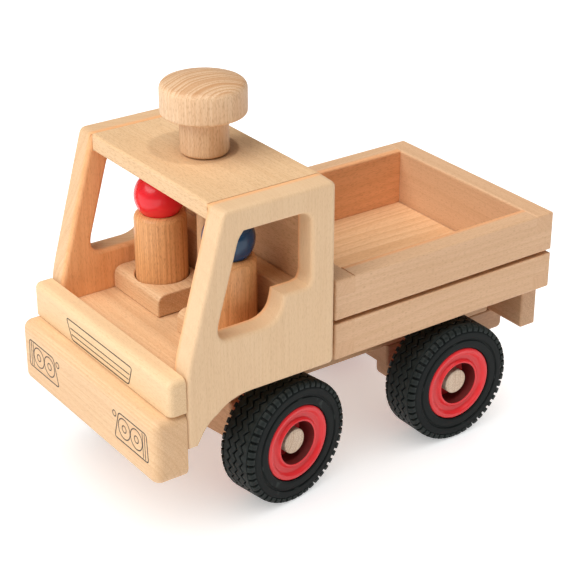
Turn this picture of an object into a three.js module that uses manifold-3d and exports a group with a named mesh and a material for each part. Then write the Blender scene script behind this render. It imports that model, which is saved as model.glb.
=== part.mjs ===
// Toy dump truck in oiled beech: a cab on a chassis plank, a box bed hinged at the tail,
// four rubber-tyred wheels on dowel axles, a steering knob on the roof, two peg figures.
// Millimetres. +X is forward, +Y is the truck's left, +Z is up, the ground is z = 0.
import * as THREE from "three";
import { mergeVertices } from "three/addons/utils/BufferGeometryUtils.js";
import Module from "manifold-3d";

const wasm = await Module();
wasm.setup();

// ---------------------------------------------------------------- driving sizes
const glueGap = 0.3;            // left between two pieces that are glued or screwed together
const runGap = 0.5;             // running clearance of whatever turns or slides
const round = 48;               // facets of a turned piece

const cabWidth = 150;           // across the two cab sides
const cabBoard = 14.8;          // thickness of a cab side
const cabSideHeight = 110.1;    // straight rear edge of a cab side
const cabFrontDrop = 23;        // how far a side reaches down in front of the wheel
const cabLength = 96.8;         // along the bottom of a cab side
const roofLength = 72;
const roofThick = 10.5;
const floorThick = 10.4;
const rearWallThick = 11.7;
const pillarFoot = 21.5;        // the leaning pillar ends this far above the bottom of the side
const pillarFootRound = 11;
const noseToe = 4.8;            // length of the nose where it ends in front of the wheel
const noseHeel = 9.4;
const noseHeelRise = 5;
const archCrown = 42;           // the wheel arch starts this far behind the nose
const archShoulder = 20;
const archShoulderDrop = 7.5;
const sideCornerRound = 4;

const windowTopRail = 13.9;     // board left above the window
const windowRearPost = 15.6;    // and behind it
const windowSill = 36;          // low front part of the sill, above the bottom of the side
const windowHighSill = 52;      // high rear part of the sill
const windowPillarTop = 11.2;   // width of the leaning pillar at the top of the window
const windowPillarFoot = 20.6;  // and at the foot of the window
const windowLowLength = 26;     // of the low part of the sill
const windowCorner = 8;
const windowStepWidth = 8;

const wheelRadius = 37.5;
const wheelInset = 0.2;         // outer face of a wheel inside the outer face of the cab
const tyreWidth = 26;
const rimRadius = 22.9;
const axleRadius = 7.6;
const axleRecess = 3.4;         // the axle end lies this far inside the wheel face
const hubRecessRadius = 13.2;
const hubRecessDepth = 8.5;
const hubBelowBeamTop = 0.8;    // keeps the rim's inner hub clear of the chassis plank
const frontAxleX = 34.8;        // ahead of the cab's rear plane
const rearAxleX = -95;
const steerAtRest = THREE.MathUtils.degToRad(9);

const chassisWidth = 64;
const chassisThick = 15;
const beamThick = 24;           // front axle beam, fore and aft
const beamBelowAxle = 12.5;
const beamAboveAxle = 13.4;
const carrierThick = 14.8;      // rear axle carrier
const carrierFront = 21.5;      // ahead of the rear axle
const carrierTailRound = 4;
const cheekLength = 39;         // the two cheeks that hold the rear axle
const cheekThick = 13.5;
const cheekRound = 6;
const riserHeight = 16.5;       // lifts the cab above the chassis plank
const riserInset = 2;           // risers and bearer are this much narrower than the plank, each side
const rearRiserLength = 20;
const frontRiserLength = 26;
const frontRiserBehindNose = 8;
const chassisBehindNose = 1.5;
const bearerLength = 28;        // block that the front of the bed rests on

const bumperThick = 21;
const bumperHeight = 40;
const bumperRound = 6;
const hoodThick = 11;
const hoodHeight = 21;
const hoodRound = 4;
const hoodLift = 0.5;           // hood above the bottom of the cab sides

const bedGap = 3.1;             // between cab and bed
const bedLength = 163.6;
const bedInset = 3.4;           // the bed sides lie this far inside the cab sides
const bedWall = 13.7;
const bedHeight = 49.8;
const bedBelowCab = 1.7;        // the bed hangs this far below the bottom of the cab sides
const bedFloorLift = 3.5;       // floor above the bottom of the walls
const bedFloorThick = 10.3;
const grooveHeight = 2.8;
const grooveDepth = 8;
const grooveLift = 22.6;        // groove above the bottom of the walls
const fingers = 5;
const hingePlankThick = 12;
const hingePlankInset = 13;     // end of the hinge plank inside the cab's width

const leafThick = 1.1;
const leafHeight = 13;
const leafWidth = 48;
const barrelRadius = 2.1;
const hingePinRadius = 1.1;
const screwHeadRadius = 2.2;
const screwHeadThick = 0.9;
const screwRadius = 0.9;
const screwLength = 8;
const screwSpread = 30;

const columnRadius = 5.4;
const stemRadius = 13.8;
const stemHeight = 22.8;
const capRadius = 24.3;
const capHeight = 21.3;
const capRound = 3.8;
const capDome = 3.3;            // rise of the domed top in the middle
const knobSocketDepth = 28;

const seatThick = 13.8;
const seatLength = 37;
const seatFront = 62.5;         // ahead of the cab's rear plane
const seatGap = 19.6;           // between the two seats, where the steering column passes
const seatRecessDepth = 9.5;
const seatRound = 6.5;
const ledgeThick = 12.2;
const ledgeHeight = 37;

const figureRadius = 15.5;
const figureHeight = 48.8;      // of the body, without its head
const shoulderRound = 4.5;
const headRadius = 14.9;
const headLift = 10;            // centre of the head above the top of the body
const figureBehindSeatEdge = 19;
const figureAside = 35.8;       // from the middle of the cab
const recessPlay = 0.7;

// ---------------------------------------------------------------- heights and stations
const axleHeight = wheelRadius;
const chassisBottom = axleHeight + beamAboveAxle + runGap;
const chassisTop = chassisBottom + chassisThick;
const cabBottom = chassisTop + riserHeight;
const cabTop = cabBottom + cabSideHeight;
const floorTop = cabBottom + floorThick;
const roofBottom = cabTop - roofThick;
const halfCab = cabWidth / 2;
const halfInside = halfCab - cabBoard;
const halfChassis = chassisWidth / 2;
const wheelFace = halfCab - wheelInset;
const wheelBack = wheelFace - tyreWidth;
const bedFront = -bedGap;
const bedRear = bedFront - bedLength;
const bedBottom = cabBottom - bedBelowCab;
const bedTop = bedBottom + bedHeight;
const halfBed = halfCab - bedInset;
const bedFloorBottom = bedBottom + bedFloorLift;
const frontFace = cabLength + glueGap;
const hoodBottom = cabBottom + hoodLift;
const bumperTop = hoodBottom - glueGap;
const hingeX = bedRear - glueGap - barrelRadius;
const hingeZ = chassisBottom;
const figureX = seatFront - figureBehindSeatEdge;
const middleOfLength = (frontFace + bumperThick + hingeX - barrelRadius) / 2;

// ---------------------------------------------------------------- finishes
const beech = { color: 0xe2bd8c, roughness: 0.55, metalness: 0 };
const oiledBeech = { color: 0xc98a4e, roughness: 0.45, metalness: 0 };
const tyreRubber = { color: 0x20262a, roughness: 0.8, metalness: 0 };
const redPlastic = { color: 0xd8232f, roughness: 0.2, metalness: 0 };
const redGloss = { color: 0xd6213a, roughness: 0.15, metalness: 0 };
const blueGloss = { color: 0x1d4a7d, roughness: 0.15, metalness: 0 };
const steel = { color: 0xb9bcc0, roughness: 0.35, metalness: 1 };

// ---------------------------------------------------------------- making and cutting
function solidOf(geometry) {
  const bare = geometry.index ? geometry.clone() : geometry;
  bare.deleteAttribute("normal");
  bare.deleteAttribute("uv");
  const welded = mergeVertices(bare, 1e-4);
  const vertProperties = Float32Array.from(welded.attributes.position.array);
  const triVerts = Uint32Array.from(welded.index.array);
  return new wasm.Manifold(new wasm.Mesh({ numProp: 3, vertProperties, triVerts }));
}

function geometryOf(solid) {
  const mesh = solid.getMesh();
  const geometry = new THREE.BufferGeometry();
  geometry.setAttribute("position", new THREE.BufferAttribute(mesh.vertProperties, 3));
  geometry.setIndex(new THREE.BufferAttribute(mesh.triVerts, 1));
  geometry.computeVertexNormals();
  return geometry;
}

function cut(geometry, ...tools) {
  let solid = solidOf(geometry);
  for (const tool of tools) {
    solid = solid.subtract(solidOf(tool));
  }
  return geometryOf(solid);
}

function join(geometry, ...others) {
  let solid = solidOf(geometry);
  for (const other of others) {
    solid = solid.add(solidOf(other));
  }
  return geometryOf(solid);
}

// A box between two corners.
function block(x0, x1, y0, y1, z0, z1) {
  const geometry = new THREE.BoxGeometry(x1 - x0, y1 - y0, z1 - z0);
  return geometry.translate((x0 + x1) / 2, (y0 + y1) / 2, (z0 + z1) / 2);
}

// A round bar along X, Y or Z, given its middle line and its two ends.
function bar(axis, radius, from, to, a, b) {
  const geometry = new THREE.CylinderGeometry(radius, radius, to - from, 32);
  const middle = (from + to) / 2;
  if (axis === "x") {
    return geometry.rotateZ(Math.PI / 2).translate(middle, a, b);
  }
  if (axis === "y") {
    return geometry.translate(a, middle, b);
  }
  return geometry.rotateX(Math.PI / 2).translate(a, b, middle);
}

// An outline drawn in X and Z, made into a board between two values of Y.
function board(outline, y0, y1, curveSegments = 12) {
  const settings = { depth: y1 - y0, bevelEnabled: false, curveSegments };
  const geometry = new THREE.ExtrudeGeometry(outline, settings);
  return geometry.rotateX(Math.PI / 2).translate(0, y1, 0);
}

// A turned piece whose profile gives radius and height, standing upright at x, y.
function turnedUpright(profile, x, y) {
  return new THREE.LatheGeometry(profile, round).rotateX(Math.PI / 2).translate(x, y, 0);
}

function arcPoints(cx, cy, radius, from, to, steps) {
  const points = [];
  for (let i = 0; i <= steps; i += 1) {
    const angle = THREE.MathUtils.degToRad(from + ((to - from) * i) / steps);
    points.push(new THREE.Vector2(cx + radius * Math.cos(angle), cy + radius * Math.sin(angle)));
  }
  return points;
}

const truck = new THREE.Group();
truck.position.x = -middleOfLength;

function place(name, geometry, finish, parent = truck) {
  const mesh = new THREE.Mesh(geometry, new THREE.MeshStandardMaterial(finish));
  mesh.name = name;
  parent.add(mesh);
  return mesh;
}

// ---------------------------------------------------------------- chassis
function chassisPlank() {
  const rear = bedRear + hingePlankThick + glueGap;
  const plank = block(rear, cabLength - chassisBehindNose, -halfChassis, halfChassis, chassisBottom, chassisTop);
  const columnHole = bar("z", columnRadius + runGap, chassisBottom - 1, chassisTop + 1, frontAxleX, 0);
  return cut(plank, columnHole);
}

// The carrier hangs below the plank; a channel parts the two cheeks that hold the rear axle.
function rearAxleCarrier() {
  const top = chassisBottom - glueGap;
  const bottom = top - carrierThick;
  const cheekBottom = axleHeight - beamBelowAxle;
  const front = rearAxleX + carrierFront;
  const cheekRear = rearAxleX - cheekLength / 2;
  const cheekFront = rearAxleX + cheekLength / 2;
  const outline = new THREE.Shape();
  outline.moveTo(front, top);
  outline.lineTo(bedRear, top);
  outline.lineTo(bedRear, bottom + carrierTailRound);
  outline.quadraticCurveTo(bedRear, bottom, bedRear + carrierTailRound, bottom);
  outline.lineTo(cheekRear, bottom);
  outline.lineTo(cheekRear, cheekBottom + cheekRound);
  outline.quadraticCurveTo(cheekRear, cheekBottom, cheekRear + cheekRound, cheekBottom);
  outline.lineTo(cheekFront - cheekRound, cheekBottom);
  outline.quadraticCurveTo(cheekFront, cheekBottom, cheekFront, cheekBottom + cheekRound);
  outline.lineTo(cheekFront, bottom);
  outline.lineTo(front, bottom);
  const inside = halfChassis - cheekThick;
  const channel = block(cheekRear - 1, cheekFront + 1, -inside, inside, cheekBottom - 1, bottom);
  const bore = bar("y", axleRadius + runGap, -halfChassis - 1, halfChassis + 1, rearAxleX, axleHeight);
  const pilots = screwPlaces(-1).map(([y, z]) => screwBore(y, z, bedRear - 1, bedRear + screwLength));
  return cut(board(outline, -halfChassis, halfChassis), channel, bore, ...pilots);
}

function riser(from, to) {
  const half = halfChassis - riserInset;
  return block(from, to, -half, half, chassisTop + glueGap, cabBottom - glueGap);
}

function bedBearer() {
  const half = halfChassis - riserInset;
  const front = bedFront - bedWall - riserInset;
  return block(front - bearerLength, front, -half, half, chassisTop + glueGap, bedFloorBottom - glueGap);
}

// ---------------------------------------------------------------- cab
// Side outline: straight back and top, leaning pillar, upright nose, wheel arch below.
function cabSideOutline() {
  const noseBottom = cabBottom - cabFrontDrop;
  const foot = cabBottom + pillarFoot;
  const lean = (cabLength - roofLength) / (cabTop - foot);
  const heelTop = noseBottom + noseHeelRise;
  const outline = new THREE.Shape();
  outline.moveTo(sideCornerRound, cabBottom);
  outline.quadraticCurveTo(0, cabBottom, 0, cabBottom + sideCornerRound);
  outline.lineTo(0, cabTop);
  outline.lineTo(roofLength, cabTop);
  outline.lineTo(cabLength - pillarFootRound * lean, foot + pillarFootRound);
  outline.quadraticCurveTo(cabLength, foot, cabLength, foot - pillarFootRound);
  outline.lineTo(cabLength, noseBottom + chassisBehindNose);
  outline.quadraticCurveTo(cabLength, noseBottom, cabLength - chassisBehindNose, noseBottom);
  outline.lineTo(cabLength - noseToe, noseBottom);
  outline.quadraticCurveTo(cabLength - 0.85 * noseHeel, noseBottom + 1, cabLength - noseHeel, heelTop);
  const shoulderX = cabLength - archShoulder;
  const shoulderZ = cabBottom - archShoulderDrop;
  outline.quadraticCurveTo((cabLength - noseHeel + shoulderX) / 2 + 1.5, shoulderZ - 3.5, shoulderX, shoulderZ);
  outline.quadraticCurveTo(cabLength - archCrown / 1.5, cabBottom, cabLength - archCrown, cabBottom);
  return outline;
}

// Window opening: its front edge leans with the pillar, and its sill has one step.
function windowOutline() {
  const top = cabTop - windowTopRail;
  const rear = windowRearPost;
  const sill = cabBottom + windowSill;
  const highSill = cabBottom + windowHighSill;
  const frontTop = roofLength - windowPillarTop;
  const frontBottom = cabLength - windowPillarFoot;
  const stepFront = frontBottom - windowLowLength;
  const stepRear = stepFront - windowStepWidth - 11.2;
  const rise = highSill - sill;
  const hole = new THREE.Shape();
  hole.moveTo(rear, top - windowCorner);
  hole.quadraticCurveTo(rear, top, rear + windowCorner, top);
  hole.lineTo(frontTop - 0.6 * windowCorner, top);
  hole.quadraticCurveTo(frontTop, top, frontTop + 0.25 * windowCorner, top - 0.75 * windowCorner);
  hole.lineTo(frontBottom - 1.2, sill + 0.75 * rise);
  hole.quadraticCurveTo(frontBottom + 2, sill, frontBottom - windowCorner, sill);
  hole.lineTo(stepFront, sill);
  hole.quadraticCurveTo(stepRear + 6, sill, stepRear + 4.2, sill + 0.69 * rise);
  hole.quadraticCurveTo(stepRear + 4, highSill, stepRear, highSill);
  hole.lineTo(rear + 0.75 * windowCorner, highSill);
  hole.quadraticCurveTo(rear, highSill, rear, highSill + 0.875 * windowCorner);
  return hole;
}

function cabSide(side) {
  const [lowY, highY] = side > 0 ? [halfInside, halfCab] : [-halfCab, -halfInside];
  return cut(board(cabSideOutline(), lowY, highY), board(windowOutline(), -cabWidth, cabWidth));
}

// A flat board between the cab sides with a hole for the steering column.
function cabBoardWithHole(from, to, bottom, top) {
  const half = halfInside - glueGap;
  const sheet = block(from, to, -half, half, bottom, top);
  return cut(sheet, bar("z", columnRadius + runGap, bottom - 1, top + 1, frontAxleX, 0));
}

function cabRearWall() {
  const half = halfInside - glueGap;
  return block(0, rearWallThick, -half, half, floorTop + glueGap, roofBottom - glueGap);
}

function cabLedge() {
  const half = halfInside - glueGap;
  const front = rearWallThick + glueGap + ledgeThick;
  const bottom = floorTop + glueGap;
  return block(rearWallThick + glueGap, front, -half, half, bottom, bottom + ledgeHeight);
}

// A seat is one block, rounded at its top front edge, with a round recess for a figure.
function seat(side) {
  const bottom = floorTop + glueGap;
  const top = bottom + seatThick;
  const rear = seatFront - seatLength;
  const outline = new THREE.Shape();
  outline.moveTo(rear, bottom);
  outline.lineTo(rear, top);
  outline.lineTo(seatFront - seatRound, top);
  outline.quadraticCurveTo(seatFront, top, seatFront, top - seatRound);
  outline.lineTo(seatFront, bottom);
  const inner = seatGap / 2;
  const outer = halfInside - glueGap;
  const [lowY, highY] = side > 0 ? [inner, outer] : [-outer, -inner];
  const slab = board(outline, lowY, highY, 6);
  const recess = bar("z", figureRadius + recessPlay, top - seatRecessDepth, top + 1, figureX, side * figureAside);
  return cut(slab, recess);
}

// A bar across the front of the cab, rounded on every edge but those against the cab. The hood's
// bottom edges are left square as well, where it lies on the bumper.
function frontBoard(thick, bottom, top, edge, squareBottom) {
  const cornerRound = 0.3;
  const inset = edge + cornerRound;
  const low = squareBottom ? bottom - inset : bottom;
  const x0 = frontFace - 1;
  const x1 = frontFace + thick - edge;
  const z0 = low + edge;
  const z1 = top - edge;
  const outline = new THREE.Shape();
  outline.moveTo(x0, z0);
  outline.lineTo(x1 - cornerRound, z0);
  outline.quadraticCurveTo(x1, z0, x1, z0 + cornerRound);
  outline.lineTo(x1, z1 - cornerRound);
  outline.quadraticCurveTo(x1, z1, x1 - cornerRound, z1);
  outline.lineTo(x0, z1);
  const solid = new THREE.ExtrudeGeometry(outline, {
    depth: cabWidth - 2 * edge,
    bevelEnabled: true,
    bevelThickness: edge,
    bevelSize: edge,
    bevelSegments: 5,
    curveSegments: 6,
  });
  solid.rotateX(Math.PI / 2).translate(0, halfCab - edge, 0);
  const behind = block(frontFace - 3 * bumperThick, frontFace, -cabWidth, cabWidth, low - 1, top + 1);
  const below = block(x0, frontFace + thick + 1, -cabWidth, cabWidth, low - 1, bottom);
  return squareBottom ? cut(solid, behind, below) : cut(solid, behind);
}

// ---------------------------------------------------------------- steering
function knob(base) {
  const capBottom = base + stemHeight;
  const top = capBottom + capHeight;
  const socket = columnRadius + glueGap;
  const shoulder = capRadius - capRound;
  const domeRadius = (shoulder * shoulder + capDome * capDome) / (2 * capDome);
  const domeEdge = THREE.MathUtils.radToDeg(Math.asin(shoulder / domeRadius));
  const profile = [
    new THREE.Vector2(0, base + knobSocketDepth),
    new THREE.Vector2(socket, base + knobSocketDepth),
    new THREE.Vector2(socket, base),
    new THREE.Vector2(stemRadius, base),
    new THREE.Vector2(stemRadius, capBottom),
    ...arcPoints(capRadius - 1.5, capBottom + 1.5, 1.5, -90, 0, 3),
    ...arcPoints(shoulder, top - capDome - capRound, capRound, 0, 90 - domeEdge, 5),
    ...arcPoints(0, top - domeRadius, domeRadius, 90 - domeEdge, 90, 4).slice(1, -1),
    new THREE.Vector2(0, top),
  ];
  return turnedUpright(profile, 0, 0);
}

function axleBeam() {
  const half = beamThick / 2;
  const bottom = axleHeight - beamBelowAxle;
  const top = axleHeight + beamAboveAxle;
  const body = block(-half, half, -halfChassis, halfChassis, bottom, top);
  const bore = bar("y", axleRadius + runGap, -halfChassis - 1, halfChassis + 1, 0, axleHeight);
  const socket = bar("z", columnRadius + glueGap, axleHeight + axleRadius + 1, top + 1, 0, 0);
  return cut(body, bore, socket);
}

function column(base) {
  const bottom = axleHeight + axleRadius + 1.6;
  return bar("z", columnRadius, bottom, base + knobSocketDepth - glueGap, 0, 0);
}

// ---------------------------------------------------------------- wheels
// Profiles run in radius and in distance from the truck's middle plane.
function tyreProfile() {
  const inner = rimRadius + glueGap;
  const shoulder = 4;
  return [
    new THREE.Vector2(inner, wheelBack),
    new THREE.Vector2(wheelRadius - 7, wheelBack),
    ...arcPoints(wheelRadius - shoulder, wheelBack + shoulder, shoulder, -90, 0, 4),
    ...arcPoints(wheelRadius - shoulder, wheelFace - shoulder, shoulder, 0, 90, 4),
    new THREE.Vector2(inner, wheelFace),
    new THREE.Vector2(inner, wheelBack),
  ];
}

function rimProfile() {
  const bore = axleRadius + glueGap;
  const hubEnd = halfChassis + runGap;
  const hubRadius = beamAboveAxle - hubBelowBeamTop;
  return [
    new THREE.Vector2(bore, hubEnd),
    new THREE.Vector2(hubRadius, hubEnd),
    new THREE.Vector2(hubRadius, wheelBack),
    new THREE.Vector2(rimRadius, wheelBack),
    new THREE.Vector2(rimRadius, wheelFace - 1),
    new THREE.Vector2(rimRadius - 1, wheelFace),
    new THREE.Vector2(rimRadius - 3, wheelFace - 0.6),
    new THREE.Vector2(rimRadius - 5, wheelFace - 2.2),
    new THREE.Vector2(hubRecessRadius + 2.4, wheelFace - 1.6),
    new THREE.Vector2(hubRecessRadius, wheelFace - 0.8),
    new THREE.Vector2(hubRecessRadius, wheelFace - hubRecessDepth),
    new THREE.Vector2(bore, wheelFace - hubRecessDepth),
    new THREE.Vector2(bore, hubEnd),
  ];
}

function turnedOnAxle(profile, side) {
  const wheel = new THREE.LatheGeometry(profile, round);
  return side > 0 ? wheel : wheel.rotateZ(Math.PI);
}

function wheelSet(prefix, group) {
  const end = wheelFace - axleRecess;
  place(`${prefix}_axle`, bar("y", axleRadius, -end, end, 0, 0), beech, group);
  for (const [side, word] of [[1, "left"], [-1, "right"]]) {
    place(`${prefix}_rim_${word}`, turnedOnAxle(rimProfile(), side), redPlastic, group);
    place(`${prefix}_tyre_${word}`, turnedOnAxle(tyreProfile(), side), tyreRubber, group);
  }
}

// ---------------------------------------------------------------- bed
const fingerStep = bedHeight / fingers;

// Alternate fingers of a wall's end; even fingers belong to the front and rear walls.
function fingerCutters(parity, x0, x1, y0, y1) {
  const cutters = [];
  for (let i = 0; i < fingers; i += 1) {
    if (i % 2 === parity) {
      const top = bedTop - i * fingerStep + (i === 0 ? 1 : glueGap / 2);
      const bottom = bedTop - (i + 1) * fingerStep - (i === fingers - 1 ? 1 : glueGap / 2);
      cutters.push(block(x0, x1, y0, y1, bottom, top));
    }
  }
  return cutters;
}

function grooveZ() {
  return [bedBottom + grooveLift, bedBottom + grooveLift + grooveHeight];
}

function bedSide(side) {
  const inner = halfBed - bedWall;
  const [lowY, highY] = side > 0 ? [inner, halfBed] : [-halfBed, -inner];
  const wall = block(bedRear, bedFront, lowY, highY, bedBottom, bedTop);
  const reach = bedWall + glueGap;
  const [grooveLow, grooveHigh] = grooveZ();
  const grooveY = side > 0 ? [halfBed - grooveDepth, halfBed + 1] : [-halfBed - 1, -halfBed + grooveDepth];
  return cut(
    wall,
    ...fingerCutters(0, bedRear - 1, bedRear + reach, -halfCab, halfCab),
    ...fingerCutters(0, bedFront - reach, bedFront + 1, -halfCab, halfCab),
    block(bedRear - 1, bedFront + 1, ...grooveY, grooveLow, grooveHigh),
  );
}

// A front or rear wall: end is -1 at the tail and 1 next to the cab.
function bedEnd(end) {
  const [x0, x1] = end > 0 ? [bedFront - bedWall, bedFront] : [bedRear, bedRear + bedWall];
  const wall = block(x0, x1, -halfBed, halfBed, bedBottom, bedTop);
  const inner = halfBed - bedWall - glueGap;
  const [grooveLow, grooveHigh] = grooveZ();
  const grooveX = end > 0 ? [bedFront - grooveDepth, bedFront + 1] : [bedRear - 1, bedRear + grooveDepth];
  return cut(
    wall,
    ...fingerCutters(1, x0 - 1, x1 + 1, inner, halfBed + 1),
    ...fingerCutters(1, x0 - 1, x1 + 1, -halfBed - 1, -inner),
    block(...grooveX, -halfBed - 1, halfBed + 1, grooveLow, grooveHigh),
    block(x0 - 1, x1 + 1, halfBed - grooveDepth, halfBed + 1, grooveLow, grooveHigh),
    block(x0 - 1, x1 + 1, -halfBed - 1, -halfBed + grooveDepth, grooveLow, grooveHigh),
  );
}

function bedFloor() {
  const half = halfBed - bedWall - glueGap;
  const rear = bedRear + bedWall + glueGap;
  const front = bedFront - bedWall - glueGap;
  return block(rear, front, -half, half, bedFloorBottom, bedFloorBottom + bedFloorThick);
}

function hingePlank() {
  const half = halfCab - hingePlankInset;
  const bottom = chassisBottom + glueGap / 2;
  const plank = block(bedRear, bedRear + hingePlankThick, -half, half, bottom, bedBottom - glueGap);
  const pilot = screwPlaces(1).map(([y, z]) => screwBore(y, z, bedRear - 1, bedRear + screwLength));
  return cut(plank, ...pilot);
}

// ---------------------------------------------------------------- tail hinge
// Each leaf has two screws; up is 1 for the leaf on the bed and -1 for the one on the chassis.
function screwPlaces(up) {
  const z = hingeZ + up * (barrelRadius + leafHeight / 2);
  return [[-screwSpread / 2, z], [screwSpread / 2, z]];
}

function screwBore(y, z, from, to) {
  return bar("x", screwRadius + glueGap, from, to, y, z);
}

function hingeLeaf(up) {
  const face = bedRear - glueGap;
  const nearEdge = hingeZ + up * 0.6;
  const farEdge = hingeZ + up * (barrelRadius + leafHeight);
  const [low, high] = up > 0 ? [nearEdge, farEdge] : [farEdge, nearEdge];
  const plate = block(face - leafThick, face, -leafWidth / 2, leafWidth / 2, low, high);
  const third = leafWidth / 3;
  const spans = up > 0 ? [[-third / 2, third / 2]] : [[-leafWidth / 2, -third / 2], [third / 2, leafWidth / 2]];
  const others = up > 0 ? [[-leafWidth / 2, -third / 2], [third / 2, leafWidth / 2]] : [[-third / 2, third / 2]];
  const barrels = spans.map(([a, b]) => bar("y", barrelRadius, a + glueGap / 2, b - glueGap / 2, hingeX, hingeZ));
  const relief = others.map(([a, b]) => {
    return block(face - 6, face + 1, a - glueGap / 2, b + glueGap / 2, hingeZ - barrelRadius - glueGap,
      hingeZ + barrelRadius + glueGap);
  });
  const bore = bar("y", hingePinRadius + glueGap, -leafWidth, leafWidth, hingeX, hingeZ);
  const holes = screwPlaces(up).map(([y, z]) => screwBore(y, z, face - leafThick - 1, face + 1));
  const trimmed = cut(plate, ...relief);
  return cut(join(trimmed, ...barrels), bore, ...holes);
}

function screw(y, z) {
  const outside = bedRear - glueGap - leafThick - glueGap;
  const profile = [
    new THREE.Vector2(0, -screwHeadThick),
    new THREE.Vector2(screwHeadRadius - 0.7, -screwHeadThick),
    new THREE.Vector2(screwHeadRadius, 0),
    new THREE.Vector2(screwRadius, 0),
    new THREE.Vector2(screwRadius, screwLength),
    new THREE.Vector2(0, screwLength),
  ];
  return new THREE.LatheGeometry(profile, 16).rotateZ(-Math.PI / 2).translate(outside, y, z);
}

// ---------------------------------------------------------------- figures
function figureBody(base) {
  const top = base + figureHeight;
  const headCentre = top + headLift;
  const socket = headRadius + glueGap;
  const lip = Math.sqrt(socket * socket - headLift * headLift);
  const lipAngle = THREE.MathUtils.radToDeg(Math.atan2(-headLift, lip));
  const shoulder = Math.min(shoulderRound, figureRadius - lip - 0.05);
  const profile = [
    new THREE.Vector2(0, base),
    new THREE.Vector2(figureRadius - 1, base),
    new THREE.Vector2(figureRadius, base + 1),
    ...arcPoints(figureRadius - shoulder, top - shoulderRound, shoulder, 0, 80, 6),
    ...arcPoints(0, headCentre, socket, lipAngle, -90, 6).slice(0, -1),
    new THREE.Vector2(0, headCentre - socket),
  ];
  return turnedUpright(profile, 0, 0);
}

function addFigure(name, side, headFinish) {
  const figure = new THREE.Group();
  const base = floorTop + glueGap + seatThick - seatRecessDepth + glueGap;
  figure.position.set(figureX, side * figureAside, 0);
  place(`${name}_body`, figureBody(base), oiledBeech, figure);
  const head = new THREE.SphereGeometry(headRadius, round / 2, round / 3);
  head.rotateX(Math.PI / 2).translate(0, 0, base + figureHeight + headLift);
  place(`${name}_head`, head, headFinish, figure);
  truck.add(figure);
}

// ---------------------------------------------------------------- assembly
place("chassis_plank", chassisPlank(), beech);
place("rear_axle_carrier", rearAxleCarrier(), beech);
const frontRiserEnd = cabLength - frontRiserBehindNose;
place("cab_riser_rear", riser(riserInset, riserInset + rearRiserLength), beech);
place("cab_riser_front", riser(frontRiserEnd - frontRiserLength, frontRiserEnd), beech);
place("bed_bearer_block", bedBearer(), beech);

place("cab_side_left", cabSide(1), beech);
place("cab_side_right", cabSide(-1), beech);
place("cab_roof", cabBoardWithHole(0, roofLength, roofBottom, cabTop), beech);
place("cab_floor", cabBoardWithHole(0, cabLength, cabBottom, floorTop), beech);
place("cab_rear_wall", cabRearWall(), beech);
place("cab_back_ledge", cabLedge(), beech);
place("seat_left", seat(1), beech);
place("seat_right", seat(-1), beech);
place("hood_board", frontBoard(hoodThick, hoodBottom, hoodBottom + hoodHeight, hoodRound, true), beech);
place("bumper_board", frontBoard(bumperThick, bumperTop - bumperHeight, bumperTop, bumperRound, false), beech);

const steering = new THREE.Group();
steering.position.x = frontAxleX;
steering.rotation.z = steerAtRest;
truck.add(steering);
place("steering_knob", knob(cabTop + runGap), beech, steering);
place("steering_column", column(cabTop + runGap), beech, steering);
place("front_axle_beam", axleBeam(), beech, steering);

const frontWheels = new THREE.Group();
frontWheels.position.z = axleHeight;
steering.add(frontWheels);
wheelSet("front", frontWheels);

const rearWheels = new THREE.Group();
rearWheels.position.set(rearAxleX, 0, axleHeight);
truck.add(rearWheels);
wheelSet("rear", rearWheels);

place("bed_side_left", bedSide(1), beech);
place("bed_side_right", bedSide(-1), beech);
place("bed_front_wall", bedEnd(1), beech);
place("bed_rear_wall", bedEnd(-1), beech);
place("bed_floor", bedFloor(), beech);
place("bed_hinge_plank", hingePlank(), beech);

place("hinge_leaf_bed", hingeLeaf(1), steel);
place("hinge_leaf_chassis", hingeLeaf(-1), steel);
place("hinge_pin", bar("y", hingePinRadius, -leafWidth / 2, leafWidth / 2, hingeX, hingeZ), steel);
for (const [up, where] of [[1, "bed"], [-1, "chassis"]]) {
  screwPlaces(up).forEach(([y, z], i) => {
    place(`hinge_screw_${where}_${i + 1}`, screw(y, z), steel);
  });
}

addFigure("driver", 1, blueGloss);
addFigure("passenger", -1, redGloss);

export default truck;
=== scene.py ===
# A toy dump truck in oiled beech, set out in the order that a toy maker would put it together.
import math

import bmesh
import bpy
from mathutils import Matrix, Vector


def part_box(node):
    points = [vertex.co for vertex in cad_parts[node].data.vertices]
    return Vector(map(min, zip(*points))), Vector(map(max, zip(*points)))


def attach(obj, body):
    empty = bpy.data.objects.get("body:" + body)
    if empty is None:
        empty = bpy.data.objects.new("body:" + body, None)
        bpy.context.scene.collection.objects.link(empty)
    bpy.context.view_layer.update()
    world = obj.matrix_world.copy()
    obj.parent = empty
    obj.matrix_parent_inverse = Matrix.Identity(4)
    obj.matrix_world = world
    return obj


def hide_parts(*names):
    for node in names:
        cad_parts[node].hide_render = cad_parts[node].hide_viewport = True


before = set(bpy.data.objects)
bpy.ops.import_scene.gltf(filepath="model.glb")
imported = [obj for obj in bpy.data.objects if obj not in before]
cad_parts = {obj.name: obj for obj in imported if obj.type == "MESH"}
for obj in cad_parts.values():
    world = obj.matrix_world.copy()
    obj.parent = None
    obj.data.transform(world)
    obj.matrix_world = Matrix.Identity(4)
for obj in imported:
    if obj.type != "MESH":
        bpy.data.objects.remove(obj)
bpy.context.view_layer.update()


# ---------------------------------------------------------------- the studio
# A long lens stands well ahead of the left front wheel and looks down on the cab. One small
# overhead lamp and one wide lamp at the front right light the truck. A wide overhead diffuser
# lights only the white card that it stands on.
scene = bpy.context.scene
scene.view_settings.view_transform = "Standard"

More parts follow.
